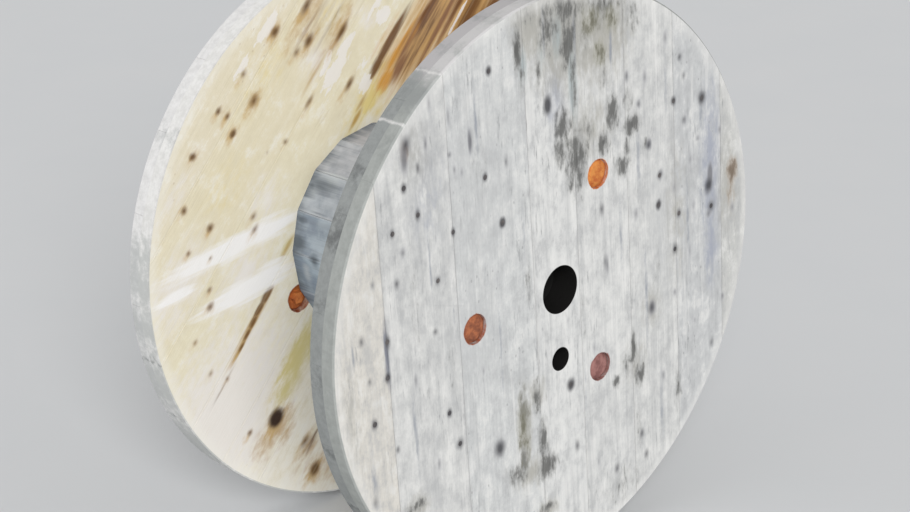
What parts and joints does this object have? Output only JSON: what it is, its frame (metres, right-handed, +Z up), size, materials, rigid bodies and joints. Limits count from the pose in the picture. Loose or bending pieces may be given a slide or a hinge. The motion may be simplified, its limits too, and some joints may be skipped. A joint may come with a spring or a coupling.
{
  "type": "wooden cable drum",
  "caption": "Wooden cable drum standing on two round board flanges, with a stave barrel, an arbor hole and drive holes.",
  "frame": {"origin": "on the floor under the middle of the drum, midway between the two flanges", "axes": "+X along the drum's axis towards the near flange, +Z up, +Y to the right as seen from outside the near flange"},
  "size_m": [0.5, 1, 1],
  "materials": {
    "near_outer_boards": "weathered pale grey paint on sawn boards",
    "near_inner_boards": "weathered grey sawn boards",
    "far_inner_boards": "cream sawn boards with brown stains",
    "far_outer_boards": "weathered pale sawn boards",
    "stave_wood": "weathered blue-grey sawn boards",
    "former_wood": "plain sawn wood",
    "rusty_steel": "dull orange-brown rust"
  },
  "bodies": {
    "root": {"far_bolts": "rusty_steel", "far_former": "former_wood", "far_inner_board_1": "far_inner_boards", "far_inner_board_2": "far_inner_boards", "far_inner_board_3": "far_inner_boards", "far_inner_board_4": "far_inner_boards", "far_inner_board_5": "far_inner_boards", "far_inner_board_6": "far_inner_boards", "far_inner_board_7": "far_inner_boards", "far_inner_board_8": "far_inner_boards", "far_inner_board_9": "far_inner_boards", "far_nuts": "rusty_steel", "far_outer_board_1": "far_outer_boards", "far_outer_board_2": "far_outer_boards", "far_outer_board_3": "far_outer_boards", "far_outer_board_4": "far_outer_boards", "far_outer_board_5": "far_outer_boards", "far_outer_board_6": "far_outer_boards", "far_outer_board_7": "far_outer_boards", "far_outer_board_8": "far_outer_boards", "far_washers": "rusty_steel", "near_bolts": "rusty_steel", "near_former": "former_wood", "near_inner_board_1": "near_inner_boards", "near_inner_board_2": "near_inner_boards", "near_inner_board_3": "near_inner_boards", "near_inner_board_4": "near_inner_boards", "near_inner_board_5": "near_inner_boards", "near_inner_board_6": "near_inner_boards", "near_inner_board_7": "near_inner_boards", "near_inner_board_8": "near_inner_boards", "near_nuts": "rusty_steel", "near_outer_board_1": "near_outer_boards", "near_outer_board_2": "near_outer_boards", "near_outer_board_3": "near_outer_boards", "near_outer_board_4": "near_outer_boards", "near_outer_board_5": "near_outer_boards", "near_outer_board_6": "near_outer_boards", "near_outer_board_7": "near_outer_boards", "near_outer_board_8": "near_outer_boards", "near_washers": "rusty_steel", "stave_01": "stave_wood", "stave_02": "stave_wood", "stave_03": "stave_wood", "stave_04": "stave_wood", "stave_05": "stave_wood", "stave_06": "stave_wood", "stave_07": "stave_wood", "stave_08": "stave_wood", "stave_09": "stave_wood", "stave_10": "stave_wood", "stave_11": "stave_wood", "stave_12": "stave_wood", "stave_13": "stave_wood", "stave_14": "stave_wood", "stave_15": "stave_wood", "stave_16": "stave_wood"}
  },
  "joints": []
}
